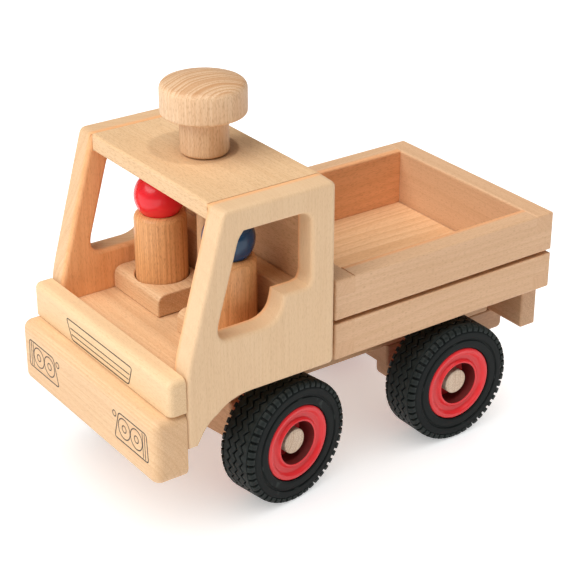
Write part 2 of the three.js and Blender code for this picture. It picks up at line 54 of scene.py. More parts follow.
lens = bpy.data.cameras.new("long_lens")
lens.sensor_width = 36
lens.lens = 106.37
lens.clip_start = 0.05
lens.clip_end = 20
camera = bpy.data.objects.new("camera", lens)
look_azimuth = math.radians(-125.357)
look_down = math.radians(-26.497)
look = Vector((
    math.cos(look_down) * math.cos(look_azimuth),
    math.cos(look_down) * math.sin(look_azimuth),
    math.sin(look_down),
))
camera.location = (0.5258, 0.7313, 0.5422)
camera.rotation_mode = "QUATERNION"
camera.rotation_quaternion = look.to_track_quat("-Z", "Y")
scene.collection.objects.link(camera)
scene.camera = camera


def set_inputs(tree, node, inputs):
    """Sets a node's inputs to plain values, or joins them to other nodes' sockets."""
    for key, value in inputs.items():
        if isinstance(value, bpy.types.NodeSocket):
            tree.links.new(value, node.inputs[key])
        else:
            node.inputs[key].default_value = value


def add_node(tree, kind, inputs=None, **settings):
    """A new node with its settings and inputs."""
    node = tree.nodes.new(kind)
    for key, value in settings.items():
        setattr(node, key, value)
    set_inputs(tree, node, inputs or {})
    return node


def new_finish(name):
    """A new material, its node tree, and the socket that gives each point's place on its piece."""
    material = bpy.data.materials.new(name)
    material.use_nodes = True
    tree = material.node_tree
    return material, tree, add_node(tree, "ShaderNodeTexCoord").outputs["Object"]


def graded(tree, value, *stops):
    """The colours between stops, each a position of the value and its grey or colour."""
    node = add_node(tree, "ShaderNodeValToRGB", {"Fac": value})
    while len(node.color_ramp.elements) < len(stops):
        node.color_ramp.elements.new(0.5)
    for element, (position, tone) in zip(node.color_ramp.elements, stops):
        element.position = position
        element.color = (*tone, 1) if isinstance(tone, tuple) else (tone, tone, tone, 1)
    return node.outputs["Color"]


def surfaced(tree, inputs, height=None, strength=0.0, depth=0.0):
    """Sets the surface's inputs, and roughens it by a height whose depth is in metres."""
    surface = tree.nodes["Principled BSDF"]
    set_inputs(tree, surface, inputs)
    if height is not None:
        bump = add_node(tree, "ShaderNodeBump", {"Height": height, "Strength": strength, "Distance": depth})
        tree.links.new(bump.outputs["Normal"], surface.inputs["Normal"])


def add_lamp(name, towards, strength, spread, colour):
    """A far lamp: towards points from the truck to the lamp, spread is how wide it looks."""
    lamp = bpy.data.lights.new(name, "SUN")
    lamp.energy = strength
    lamp.angle = math.radians(spread)
    lamp.color = colour
    holder = bpy.data.objects.new(name, lamp)
    holder.rotation_mode = "QUATERNION"
    holder.rotation_quaternion = Vector(towards).to_track_quat("Z", "Y")
    scene.collection.objects.link(holder)
    return holder


def light_only(lamp, state, receiver):
    """Makes a lamp light only the receiver (INCLUDE), or everything but the receiver (EXCLUDE)."""
    lit = bpy.data.collections.new(f"{lamp.name}_lights")
    lit.objects.link(receiver)
    lit.collection_objects[0].light_linking.link_state = state
    lamp.light_linking.receiver_collection = lit


overhead_lamp = add_lamp("overhead_lamp", (-0.032, 0.317, 1.0), 0.75, 4, (1.0, 0.99, 0.97))
overhead_diffuser = add_lamp("overhead_diffuser", (0.0, 0.05, 1.0), 3.1, 150, (1.0, 1.0, 1.0))
wide_front_lamp = add_lamp("wide_front_lamp", (0.60, 0.02, 0.78), 3.0, 60, (1.0, 0.985, 0.96))

room = bpy.data.worlds.new("white_room")
room.use_nodes = True
set_inputs(room.node_tree, room.node_tree.nodes["Background"], {"Color": (1.0, 1.0, 1.0, 1), "Strength": 0.15})
scene.world = room

card, card_tree, card_place = new_finish("white_card")
card_fibre = add_node(card_tree, "ShaderNodeTexNoise", {"Vector": card_place, "Scale": 30.0}).outputs["Fac"]
surfaced(card_tree, {
    "Base Color": graded(card_tree, card_fibre, (0.0, 0.93), (1.0, 0.95)), "Roughness": 0.9,
    "Specular IOR Level": 0.1, "Emission Color": (1.0, 1.0, 0.99, 1), "Emission Strength": 0.33,
})

half_card = 4
card_mesh = bpy.data.meshes.new("white_card")
card_mesh.from_pydata(
    [(x * half_card, y * half_card, 0) for x, y in ((-1, -1), (1, -1), (1, 1), (-1, 1))], [], [(0, 1, 2, 3)]
)
card_mesh.materials.append(card)
white_card = bpy.data.objects.new("white_card", card_mesh)
scene.collection.objects.link(white_card)
light_only(overhead_lamp, "EXCLUDE", white_card)
light_only(wide_front_lamp, "EXCLUDE", white_card)
light_only(overhead_diffuser, "INCLUDE", white_card)


# ---------------------------------------------------------------- chassis
# A beech plank runs from the front axle to the tail, with a carrier for the rear axle below it
# and three blocks above it. All are planed, sanded round along their edges, glued and screwed.
MM = 0.001
fibres_to_x = {"X": (0, 0, 0), "Y": (0, 0, -math.pi / 2), "Z": (0, math.pi / 2, 0)}
fibre_axes = {"X": (1, 0, 0), "Y": (0, 1, 0), "Z": (0, 0, 1)}


def beech(name, fibres, pale, late, pith=(0, 40), ring=3.5, rings=0.35, rays=0.35, streaks=0.3, along=0.0,
          inside=None, cut_ends=0.0, end_rings=None):
    """Beech that is solid all through: growth rings round a pith, streaks along the fibres, and the
    short dark flecks of its rays. fibres is the axis they run along; pith and ring are in mm. inside
    paints a warm glow of light bounced between the inner faces onto what lies nearer to the truck's
    middle than that many mm. cut_ends darkens the pores, and
    end_rings strengthens the rings, where the fibres end."""
    material, tree, place = new_finish(name)

    def scaled(vector, along_scale, across_scale):
        factors = (along_scale, across_scale, across_scale)
        return add_node(
            tree, "ShaderNodeVectorMath", {0: vector, 1: factors}, operation="MULTIPLY"
        ).outputs["Vector"]

    def noise(vector, detail, roughness=0.5):
        return add_node(
            tree, "ShaderNodeTexNoise",
            {"Vector": vector, "Scale": 1.0, "Detail": detail, "Roughness": roughness},
        )

    def ramp(value, *stops):
        return graded(tree, value, *stops)

    def times(value, factor):
        return add_node(tree, "ShaderNodeMath", {0: value, 1: factor}, operation="MULTIPLY").outputs[0]

    def tinted(amount, under, over):
        return add_node(tree, "ShaderNodeMix", {0: amount, 6: under, 7: over}, data_type="RGBA").outputs[2]

    wood = add_node(
        tree, "ShaderNodeMapping",
        {"Vector": place, "Scale": (1 / MM,) * 3, "Rotation": fibres_to_x[fibres],
         "Location": (along, -pith[0], -pith[1])},
    ).outputs["Vector"]

    wander = noise(scaled(wood, 0.006, 0.025), 1).outputs["Color"]
    bent = add_node(
        tree, "ShaderNodeVectorMath", {0: wander, 1: (0, 9, 9), 2: wood}, operation="MULTIPLY_ADD"
    ).outputs["Vector"]
    distance = add_node(
        tree, "ShaderNodeVectorMath", {0: scaled(bent, 0, 1)}, operation="LENGTH"
    ).outputs["Value"]
    uneven = add_node(
        tree, "ShaderNodeTexNoise", {"W": times(distance, 0.55 / ring), "Scale": 1.0, "Detail": 1.0},
        noise_dimensions="1D",
    ).outputs["Fac"]
    year = add_node(
        tree, "ShaderNodeMath", {0: uneven, 1: 2.2, 2: times(distance, 1 / ring)}, operation="MULTIPLY_ADD"
    ).outputs[0]
    in_year = add_node(tree, "ShaderNodeMath", {0: year}, operation="FRACT").outputs[0]
    late_wood = ramp(in_year, (0.0, 0.0), (0.45, 0.15), (0.82, 1.0), (0.93, 0.9), (1.0, 0.0))

    streak = noise(scaled(wood, 0.03, 0.9), 3, 0.6).outputs["Fac"]
    fleck = ramp(noise(scaled(wood, 0.42, 3.1), 0).outputs["Fac"], (0.56, 0.0), (0.70, 1.0))
    cloud = noise(scaled(wood, 0.008, 0.035), 2).outputs["Fac"]

    facing = add_node(tree, "ShaderNodeNewGeometry").outputs["True Normal"]
    end = add_node(
        tree, "ShaderNodeVectorMath", {0: facing, 1: fibre_axes[fibres]}, operation="DOT_PRODUCT"
    ).outputs["Value"]
    end = add_node(tree, "ShaderNodeMath", {0: end}, operation="ABSOLUTE").outputs[0]
    ring_depth = ramp(end, (0.45, rings), (0.85, rings if end_rings is None else end_rings))
    colour = tinted(times(late_wood, ring_depth), (*pale, 1), (*late, 1))
    colour = tinted(times(ramp(cloud, (0.35, 0.0), (0.7, 1.0)), 0.3), colour, (*late, 1))
    colour = tinted(times(ramp(streak, (0.42, 0.0), (0.75, 1.0)), streaks), colour, (*late, 1))
    dark_ray = tuple(c * d for c, d in zip(late, (0.62, 0.50, 0.42)))
    colour = tinted(times(fleck, rays), colour, (*dark_ray, 1))

    # Painted light: the warm glow of light bounced between the inner faces is painted into the colour of the faces
    # nearer the middle.
    if inside:
        across = add_node(tree, "ShaderNodeSeparateXYZ", {"Vector": place}).outputs["Y"]
        depth = add_node(tree, "ShaderNodeMath", {0: across}, operation="ABSOLUTE").outputs[0]
        painted_glow_mask = add_node(
            tree, "ShaderNodeMapRange",
            {"Value": depth, "From Min": inside * MM, "From Max": (inside + 2.5) * MM, "To Min": 1.0, "To Max": 0.0},
        ).outputs[0]
        painted_bounce_glow = add_node(
            tree, "ShaderNodeMix", {0: 1.0, 6: colour, 7: (1.16, 0.92, 0.74, 1)}, data_type="RGBA",
            blend_type="MULTIPLY",
        ).outputs[2]
        colour = tinted(painted_glow_mask, colour, painted_bounce_glow)
    if cut_ends:
        pores = ramp(noise(scaled(wood, 0.05, 2.4), 2, 0.7).outputs["Fac"], (0.40, 0.0), (0.62, 1.0))
        speck = add_node(tree, "ShaderNodeMath", {0: pores, 1: ramp(end, (0.6, 0.0), (0.95, cut_ends))},
                         operation="MULTIPLY").outputs[0]
        colour = tinted(speck, colour, (*dark_ray, 1))

    height = add_node(tree, "ShaderNodeMath", {0: streak, 1: times(fleck, -0.5)}, operation="ADD").outputs[0]
    surfaced(tree, {
        "Base Color": colour, "Roughness": ramp(streak, (0.2, 0.46), (0.8, 0.62)), "Specular IOR Level": 0.35,
    }, height, 0.25, 0.15 * MM)
    return material


def smoothed(mesh):
    """Shades the roundings smoothly, and each broad flat face quite flat."""
    broad_area = 90 * MM * MM
    crisp = math.radians(30)
    look = bmesh.new()
    look.from_mesh(mesh)
    bmesh.ops.recalc_face_normals(look, faces=look.faces)
    waiting = set(look.faces)
    while waiting:
        region = [waiting.pop()]
        for face in region:
            for line in face.edges:
                for other in line.link_faces:
                    if other in waiting and face.normal.dot(other.normal) > 0.99999:
                        waiting.discard(other)
                        region.append(other)
        broad = sum(face.calc_area() for face in region) > broad_area
        for face in region:
            face.smooth = not broad
    for line in look.edges:
        line.smooth = len(line.link_faces) != 2 or line.calc_face_angle() < crisp
    look.to_mesh(mesh)
    look.free()
    return mesh


def finished(piece, body, finish, slot, *nodes):
    """Gives a piece its finish, hides the frame's nodes that it stands for, and puts it on its body."""
    piece.data.materials.clear()
    piece.data.materials.append(finish)
    if piece.name not in scene.collection.objects:
        scene.collection.objects.link(piece)
    if nodes:
        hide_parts(*nodes)
    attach(piece, body)


def welded(node):
    """The frame's own mesh of a node, with its corners joined."""
    weld = bmesh.new()
    weld.from_mesh(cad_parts[node].data)
    bmesh.ops.remove_doubles(weld, verts=weld.verts, dist=1e-6)
    return weld


def applied(holder, name):
    """The final mesh of an object, with its curves or modifiers worked out. The object is removed."""
    bpy.context.view_layer.update()
    mesh = bpy.data.meshes.new_from_object(holder.evaluated_get(bpy.context.evaluated_depsgraph_get()))
    holder.modifiers.clear()
    bpy.data.objects.remove(holder)
    mesh.name = name
    return mesh


def middle_of(node):
    """The middle of a node's box, in mm."""
    low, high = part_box(node)
    return (Vector(low) + Vector(high)) / 2 / MM


def sanded(node, body, finish, edge=1.3, rule=None, slot="beech", bored=False, fitted=None):
    """A board of the frame with its edges sanded round. rule gives the radius of one edge in mm, from
    the middle of that edge in mm and its direction. fitted moves a corner, given and returned in mm.
    A bored board keeps its flat faces in triangles."""
    weld = welded(node)
    if not bored:
        bmesh.ops.dissolve_limit(weld, angle_limit=math.radians(1), verts=weld.verts, edges=weld.edges)
    if fitted:
        for corner in weld.verts:
            corner.co = Vector(fitted(*(corner.co / MM))) * MM
    weight = weld.edges.layers.float.new("bevel_weight_edge")
    sharp = math.radians(28)
    widest = 0.01
    radii = {}
    for line in weld.edges:
        if len(line.link_faces) == 2 and line.is_convex and line.calc_face_angle() > sharp:
            a, b = (v.co / MM for v in line.verts)
            radius = rule((a + b) / 2, (b - a).normalized()) if rule else edge
            if radius:
                radii[line] = radius
                widest = max(widest, radius)
    for line, radius in radii.items():
        line[weight] = radius / widest
    mesh = bpy.data.meshes.new(f"sharp_{node}")
    weld.to_mesh(mesh)
    weld.free()
    for leftover in ("custom_normal", "sharp_edge", "sharp_face"):
        if leftover in mesh.attributes:
            mesh.attributes.remove(mesh.attributes[leftover])
    holder = bpy.data.objects.new(f"sharp_{node}", mesh)
    scene.collection.objects.link(holder)
    rounding = holder.modifiers.new("sanding", "BEVEL")
    rounding.limit_method = "WEIGHT"
    rounding.width = widest * MM
    rounding.segments = 4
    rounding.use_clamp_overlap = False
    rounding.miter_outer = "MITER_ARC"
    board = bpy.data.objects.new(f"sanded_{node}", smoothed(applied(holder, f"sanded_{node}")))
    finished(board, body, finish, slot, node)


plank_beech = beech("plank_beech", "X", (0.70, 0.44, 0.25), (0.55, 0.31, 0.16), pith=(20, 10), ring=4)
block_beech = beech("block_beech", "Y", (0.70, 0.43, 0.25), (0.54, 0.30, 0.16), pith=(-30, 20), ring=3)
sanded("chassis_plank", "chassis", plank_beech, 1.2)


def off_the_axle(axle_x, radius):
    """A rule for boards bored for an axle: every edge is rounded but those near the bore."""
    near = 11

    def rule(middle, along):
        return 0 if math.hypot(middle.x - axle_x, middle.z - axle_z) < near else radius
    return rule


axle_z = middle_of("rear_axle").z
rear_axle_x = middle_of("rear_axle").x
# The carrier's beech has a darker tone than the other blocks, a painted shade for its place in the shadow under the
# bed.
shaded_carrier_beech = beech("shaded_carrier_beech", "X", (0.50, 0.29, 0.165), (0.38, 0.20, 0.10), pith=(20, 10), ring=4)
sanded("rear_axle_carrier", "chassis", shaded_carrier_beech, rule=off_the_axle(rear_axle_x, 1.5), bored=True)
sanded("cab_riser_rear", "chassis", block_beech, 0.8)
sanded("cab_riser_front", "chassis", block_beech, 0.8)
sanded("bed_bearer_block", "chassis", block_beech, 1.2)


# ---------------------------------------------------------------- cab sides
# Each side is one piece of 15 mm beech, sawn to shape with its window and wheel arch and routed
# round on every edge. Its fibres stand upright, and it is glued to the roof, floor and rear wall.
def outlines_of(node, across):
    """The outlines of a board's flat face, in mm: across is the axis through its thickness."""
    flush = 0.02 * MM
    weld = welded(node)
    along, up = (k for k in range(3) if k != across)
    high = max(v.co[across] for v in weld.verts)
    flat = dict.fromkeys(f for f in weld.faces if all(high - v.co[across] < flush for v in f.verts))
    follow = {}
    for face in flat:
        for corner in face.loops:
            if sum(other in flat for other in corner.edge.link_faces) == 1:
                follow[corner.vert] = corner.link_loop_next.vert
    loops = []
    while follow:
        start, after = follow.popitem()
        loop = [start]
        while after is not start:
            loop.append(after)
            after = follow.pop(after)
        loops.append([Vector((v.co[along], v.co[up])) / MM for v in loop])
    weld.free()
    return loops


def blunted(loop, shortest=0.8):
    """The outline with each corner that is made of very short steps drawn out to a single point."""
    count = len(loop)
    short = [(loop[(i + 1) % count] - loop[i]).length < shortest for i in range(count)]
    first = next(i for i in range(count) if not short[i])
    result = []
    i = 0
    while i < count:
        here = (first + i) % count
        run = 0
        while short[(here + 1 + run) % count] and run < count:
            run += 1
        if run > 2:
            a, b = loop[here], loop[(here + 1) % count]
            c, d = loop[(here + 1 + run) % count], loop[(here + 2 + run) % count]
            result.append(crossing(a, b, c, d))
        else:
            result.extend(loop[(here + 1 + k) % count] for k in range(run + 1))
        i += run + 1
    return result


def curve_round(start, corner, end, steps):
    """Points on the curve from start to end that bends towards the corner."""
    return [
        start * (1 - t) ** 2 + corner * 2 * t * (1 - t) + end * t * t
        for t in (step / steps for step in range(steps + 1))
    ]


def eased(loop, reach):
    """The outline with each sharp corner turned into a curve, where both sides are long enough."""
    sharp = math.radians(25)
    result = []
    for i, here in enumerate(loop):
        before, after = loop[i - 1] - here, loop[(i + 1) % len(loop)] - here
        turn = math.pi - before.angle(after)
        if turn < sharp or min(before.length, after.length) < 2.1 * reach:
            result.append(here)
        else:
            start = here + before.normalized() * reach
            end = here + after.normalized() * reach
            result.extend(curve_round(start, here, end, 5))
    return result


def crossing(a, b, c, d):
    """Where the endless lines ab and cd cross."""
    ab, cd = b - a, d - c
    t = (c - a).cross(cd) / ab.cross(cd)
    return a + ab * t


def sawn(node, body, finish, across, radius, fitted=None):
    """A flat board sawn along its outlines, with all its edges routed to one radius in mm. fitted
    moves a point of it, given and returned in mm."""
    ease = 1.65 * radius
    low, high = (Vector(corner)[across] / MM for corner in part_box(node))
    shape = bpy.data.curves.new(f"outline_of_{node}", "CURVE")
    shape.dimensions = "2D"
    shape.fill_mode = "BOTH"
    shape.extrude = (high - low) / 2 - radius
    shape.bevel_depth = radius
    shape.bevel_resolution = 3
    shape.offset = -radius
    for loop in outlines_of(node, across):
        points = eased(blunted(loop), ease)
        line = shape.splines.new("POLY")
        line.points.add(len(points) - 1)
        for point, place in zip(line.points, points):
            point.co = (place.x, place.y, 0, 1)
        line.use_cyclic_u = True
    holder = bpy.data.objects.new(f"outline_of_{node}", shape)
    scene.collection.objects.link(holder)
    mesh = applied(holder, f"sawn_{node}")
    upright = Matrix.Rotation(math.pi / 2, 4, "X") if across == 1 else Matrix.Identity(4)
    middle = Vector((0, 0, 0))
    middle[across] = (low + high) / 2
    mesh.transform(Matrix.Translation(middle) @ upright)
    seams = bmesh.new()
    seams.from_mesh(mesh)
    bmesh.ops.remove_doubles(seams, verts=seams.verts, dist=0.004)
    bmesh.ops.recalc_face_normals(seams, faces=seams.faces)
    for point in seams.verts:
        if fitted:
            point.co = Vector(fitted(*point.co))
        point.co *= MM
    seams.to_mesh(mesh)
    seams.free()
    finished(bpy.data.objects.new(f"sawn_{node}", smoothed(mesh)), body, finish, "beech", node)


side_beech = beech(
    "side_beech", "Z", (0.80, 0.56, 0.34), (0.70, 0.455, 0.255), pith=(62, -260), ring=3.2, rings=0.22,
    rays=0.16, streaks=0.34, inside=62,
)
far_side_beech = beech(
    "far_side_beech", "Z", (0.81, 0.555, 0.33), (0.66, 0.38, 0.19), pith=(-110, -40), ring=3.4, rings=0.4,
    rays=0.25, streaks=0.25, inside=62,
)
cab_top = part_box("cab_side_left")[1][2] / MM
glued_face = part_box("cab_side_left")[0][1] / MM
routing = 2.2


def roof_joint(x, y, z):
    """Draws the rounding together along the top edge, where the roof meets the side nearly flush."""
    left_over = 0.2
    reach = abs(y) - glued_face
    if max(cab_top - z, reach) < routing + 0.05:
        z = cab_top - (cab_top - z) * left_over
        y = math.copysign(glued_face + reach * left_over, y)
    return x, y, z


sawn("cab_side_left", "chassis", side_beech, 1, routing, roof_joint)
sawn("cab_side_right", "chassis", far_side_beech, 1, routing, roof_joint)


# ---------------------------------------------------------------- roof, floor and rear wall
# Three flat boards stand between the sides. The roof and the floor have a hole for the steering
# column, and a ledge across the back carries the top of the seats.
roof_beech = beech(
    "roof_beech", "Y", (0.82, 0.56, 0.325), (0.68, 0.42, 0.21), pith=(10, 130), ring=4.5, rings=0.25,
    rays=0.34, streaks=0.35,
)
floor_beech = beech(
    "floor_beech", "Y", (0.80, 0.53, 0.30), (0.66, 0.38, 0.19), pith=(40, 50), ring=5, rings=0.4,
    rays=0.3, streaks=0.4,
)
wall_beech = beech(
    "wall_beech", "Y", (0.76, 0.49, 0.28), (0.60, 0.34, 0.17), pith=(80, 120), ring=4,
)


def flush_ends(radius, reach):
    """A rule for boards between the cab sides: sharp at both ends, sanded round along the rest."""
    near = 15

    def rule(middle, along):
        if math.hypot(middle.x - column_x, middle.y) < near:
            return 0
        return 0.25 if abs(middle.y) > reach - 0.5 and abs(along.y) < 0.5 else radius
    return rule


column_x = middle_of("steering_column").x
roof_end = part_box("cab_roof")[1][1] / MM
sanded("cab_roof", "chassis", roof_beech, rule=flush_ends(1.6, roof_end), bored=True)
sanded("cab_floor", "chassis", floor_beech, rule=flush_ends(0.8, roof_end), bored=True)
sanded("cab_rear_wall", "chassis", wall_beech, 0.6)
sanded("cab_back_ledge", "chassis", wall_beech, 1.0)


# ---------------------------------------------------------------- seats
# Two blocks on the cab floor, each with a round recess that a figure stands in. The front edge
# is rounded over and the steering column passes between the two.
seat_beech = beech(
    "seat_beech", "Y", (0.81, 0.55, 0.32), (0.64, 0.35, 0.17), pith=(-90, 75), ring=2.6, rings=0.45,
    cut_ends=0.5,
)
sanded("seat_left", "chassis", seat_beech, 1.0)
sanded("seat_right", "chassis", seat_beech, 1.0)


# ---------------------------------------------------------------- hood and bumper
# Two bars are glued across the nose of the cab. The bumper is thick and well rounded on all its
# front edges. A grille and two pairs of lamps are printed on them in thin black lines.
hood_beech = beech(
    "hood_beech", "Y", (0.84, 0.60, 0.355), (0.75, 0.50, 0.27), pith=(-90, 160), ring=6, rings=0.2,
    rays=0.2, streaks=0.3, cut_ends=0.35,
)
bumper_beech = beech(
    "bumper_beech", "Y", (0.81, 0.55, 0.32), (0.66, 0.39, 0.20), pith=(-190, 20), ring=3.4, rings=0.42,
    rays=0.2, streaks=0.4, cut_ends=0.3,
)
sanded("hood_board", "chassis", hood_beech, 0.4)
sanded("bumper_board", "chassis", bumper_beech, 0.4)

ink, ink_tree, ink_place = new_finish("dark_ink")
ink_wear = add_node(
    ink_tree, "ShaderNodeTexNoise", {"Vector": ink_place, "Scale": 900.0, "Detail": 2.0}
).outputs["Fac"]
ink_tone = graded(ink_tree, ink_wear, (0.35, (0.022, 0.013, 0.010)), (0.75, (0.06, 0.035, 0.024)))
surfaced(ink_tree, {"Base Color": ink_tone, "Roughness": 0.6})


def print_line(sheet, x_face, points, closed=False, wide=0.78):
    """Adds one printed line to a mesh: points are its (y, z) in mm on a face that looks forward."""
    proud, deep = 0.04, 0.15
    count = len(points)
    rows = []
    for i, (y, z) in enumerate(points):
        before = points[i - 1] if closed or i else points[i]
        after = points[(i + 1) % count] if closed or i < count - 1 else points[i]
        way_in = Vector((y - before[0], z - before[1]))
        way_out = Vector((after[0] - y, after[1] - z))
        if way_in.length == 0:
            way_in = way_out
        if way_out.length == 0:
            way_out = way_in
        way_in.normalize()
        way_out.normalize()
        aside = Vector((-way_in.y - way_out.y, way_in.x + way_out.x)).normalized()
        reach = wide / 2 / max(0.4, aside.dot(Vector((-way_out.y, way_out.x))))
        corners = [(proud, 1), (proud, -1), (-deep, -1), (-deep, 1)]
        rows.append([
            sheet.verts.new(Vector((x_face + out, y + side * reach * aside.x, z + side * reach * aside.y)) * MM)
            for out, side in corners
        ])
    spans = count if closed else count - 1
    for i in range(spans):
        here, there = rows[i], rows[(i + 1) % count]
        for k in range(4):
            sheet.faces.new((here[k], here[(k + 1) % 4], there[(k + 1) % 4], there[k]))
    if not closed:
        sheet.faces.new(rows[0][::-1])
        sheet.faces.new(rows[-1])


def printed(name, sheet):
    """Makes one piece of the lines on a sheet."""
    bmesh.ops.recalc_face_normals(sheet, faces=sheet.faces)
    mesh = bpy.data.meshes.new(name)
    sheet.to_mesh(mesh)
    sheet.free()
    finished(bpy.data.objects.new(name, mesh), "chassis", ink, "beech")


def ring_points(y, z, radius, count=28):
    """The outline of a printed circle."""
    return [
        (y + radius * math.cos(2 * math.pi * i / count), z + radius * math.sin(2 * math.pi * i / count))
        for i in range(count)
    ]


def soft_corners(corners):
    """The closed outline through corners, each turned into a short curve."""
    radius = 2.2
    outline = []
    for i, corner in enumerate(corners):
        here = Vector(corner)
        start = here + (Vector(corners[i - 1]) - here).normalized() * radius
        end = here + (Vector(corners[(i + 1) % len(corners)]) - here).normalized() * radius
        outline.extend(tuple(point) for point in curve_round(start, here, end, 4))
    return outline


hood_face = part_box("hood_board")[1][0] / MM
bumper_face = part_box("bumper_board")[1][0] / MM
grille_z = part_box("hood_board")[0][2] / MM + 1.6
grille_height = 12
thin = 0.66
grille = bmesh.new()
print_line(grille, hood_face, soft_corners([
    (-35.5, grille_z + grille_height), (37.2, grille_z + grille_height), (33.2, grille_z), (-30.0, grille_z),
]), closed=True)
for lift, left_end, right_end in ((3.2, -30.3, 33.2), (6.8, -31.5, 34.4)):
    print_line(grille, hood_face, [(left_end, grille_z + lift), (right_end, grille_z + lift)], wide=thin)
printed("printed_grille", grille)

print_off_centre = 1.2
panel_low, panel_high = 56.2, 73.4
stripe_low, stripe_high, stripe_lean = 57.0, 72.6, 0.6
lamp_z = 65.2
dot_z = 70.7
lamps = bmesh.new()
for side in (1, -1):
    def across(y):
        return side * y + print_off_centre
    print_line(lamps, bumper_face, soft_corners([
        (across(37.0), panel_high), (across(66.0), panel_high), (across(67.2), panel_low), (across(31.9), panel_low),
    ]), closed=True)
    for lamp_y in (42.4, 55.2):
        for radius in (6.2, 2.1):
            print_line(lamps, bumper_face, ring_points(across(lamp_y), lamp_z, radius), closed=True, wide=0.7)
    for stripe_y in (61.6, 63.8):
        print_line(lamps, bumper_face, [
            (across(stripe_y), stripe_high), (across(stripe_y + stripe_lean), stripe_low),
        ], wide=thin)
    print_line(lamps, bumper_face, ring_points(across(32.3), dot_z, 1.8, 16), closed=True, wide=thin)
printed("printed_lamps", lamps)


# ---------------------------------------------------------------- bed
# Four walls are finger-jointed at the corners, with a groove sawn round the outside, and a floor
# board lies between them. A cross plank under the tail stands on the hinge.
bed_beech = beech(
    "bed_beech", "X", (0.745, 0.475, 0.285), (0.62, 0.365, 0.195), pith=(40, 60), ring=4.5,
    rays=0.3, streaks=0.35, inside=60, cut_ends=0.12,
)
bed_end_beech = beech(
    "bed_end_beech", "Y", (0.755, 0.475, 0.28), (0.62, 0.36, 0.195), pith=(60, 70), ring=4,
    rays=0.3, streaks=0.35, along=90, cut_ends=0.12,
)
bed_floor_beech = beech(
    "bed_floor_beech", "X", (0.79, 0.50, 0.28), (0.62, 0.34, 0.16), pith=(12, 70), ring=5.5, rings=0.6,
    rays=0.3, streaks=0.45, along=40,
)
bed_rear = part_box("bed_side_left")[0][0] / MM
bed_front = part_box("bed_side_left")[1][0] / MM
bed_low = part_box("bed_side_left")[0][2] / MM
bed_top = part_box("bed_side_left")[1][2] / MM
bed_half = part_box("bed_side_left")[1][1] / MM
bed_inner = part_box("bed_side_left")[0][1] / MM
bed_wall = bed_half - bed_inner
finger = (bed_top - bed_low) / 5
joint = 0.03


def close_joint(value, boundary):
    """Draws a face that lies 0.15 mm from the boundary of two fingers up to the thickness of glue."""
    offset = value - boundary
    return boundary + math.copysign(joint, offset) if 0.05 < abs(offset) < 0.25 else value


def close_fingers(x, y, z):
    for k in range(1, 5):
        z = close_joint(z, bed_low + k * finger)
    if abs(x - bed_front + bed_wall) < 0.6:
        x = bed_front - bed_wall
    if abs(x - bed_rear - bed_wall) < 0.6:
        x = bed_rear + bed_wall
    if abs(abs(y) - bed_inner) < 0.6:
        y = math.copysign(bed_inner, y)
    return x, y, z


def bed_edges(middle, along):
    """The glued box is sanded as one: its outer corners, its rims, and lightly the sawn groove."""
    at_end = min(abs(middle.x - bed_front), abs(middle.x - bed_rear)) < 0.1
    at_side = abs(abs(middle.y) - bed_half) < 0.1
    at_inner_end = min(abs(middle.x - bed_front + bed_wall), abs(middle.x - bed_rear - bed_wall)) < 0.1
    at_inner_side = abs(abs(middle.y) - bed_inner) < 0.1
    at_rim = min(abs(middle.z - bed_low), abs(middle.z - bed_top)) < 0.1
    in_joint = any(abs(abs(middle.z - bed_low - k * finger) - joint) < 0.02 for k in range(1, 5))
    if abs(along.z) > 0.9:
        return 1.3 if at_end and at_side else 0
    if in_joint:
        return 0
    if not at_rim:
        return 0.45 if at_end or at_side else 0
    if abs(along.x) > 0.9:
        return 1.3 if at_side or (at_inner_side and abs(middle.x - (bed_front + bed_rear) / 2) < 20) else 0
    return 1.3 if at_end or (at_inner_end and abs(middle.y) < 20) else 0


for board in ("bed_side_left", "bed_side_right"):
    sanded(board, "bed", bed_beech, rule=bed_edges, fitted=close_fingers)
for board in ("bed_front_wall", "bed_rear_wall"):
    sanded(board, "bed", bed_end_beech, rule=bed_edges, fitted=close_fingers)
sanded("bed_floor", "bed", bed_floor_beech, 0.6)
plank_end_beech = beech(
    "plank_end_beech", "Y", (0.73, 0.46, 0.27), (0.58, 0.33, 0.18), pith=(60, 20), ring=3.5, rings=0.4,
    streaks=0.35, along=50, cut_ends=0.5,
)
sanded("bed_hinge_plank", "bed", plank_end_beech, 1.4)


# ---------------------------------------------------------------- steering
# The knob is turned from one piece of beech with upright fibres. Its stem takes the column, a
# dowel that goes down between the seats into the front axle beam, which turns with the knob.
knob_beech = beech(
    "knob_beech", "Z", (0.86, 0.62, 0.40), (0.60, 0.30, 0.13), pith=(62, -60), ring=3.4, rings=0.22,
    streaks=0.4, cut_ends=0.15, end_rings=0.85,
)
column_beech = beech("column_beech", "Z", (0.76, 0.48, 0.27), (0.60, 0.33, 0.16), pith=(9, -70), ring=2.5)
beam_beech = beech(
    "beam_beech", "Y", (0.68, 0.40, 0.22), (0.52, 0.27, 0.13), pith=(-80, 20), ring=2.6, rings=0.5,
    cut_ends=0.4,
)


def rounded(corners):
    """An outline of (radius, height) points, from corners that each give their own rounding too."""
    steps = 5
    outline = []
    for i, (radius, height, fillet) in enumerate(corners):
        here = Vector((radius, height))
        if not fillet or i in (0, len(corners) - 1):
            outline.append((radius, height))
            continue
        back = (Vector(corners[i - 1][:2]) - here).normalized()
        onward = (Vector(corners[i + 1][:2]) - here).normalized()
        turn = math.pi - back.angle(onward)
        start = here + back * fillet * math.tan(turn / 2)
        end = here + onward * fillet * math.tan(turn / 2)
        centre = here + (back + onward).normalized() * fillet / math.cos(turn / 2)
        for step in range(steps + 1):
            swung = (start - centre).slerp(end - centre, step / steps).normalized()
            outline.append(tuple(centre + fillet * swung))
    return outline


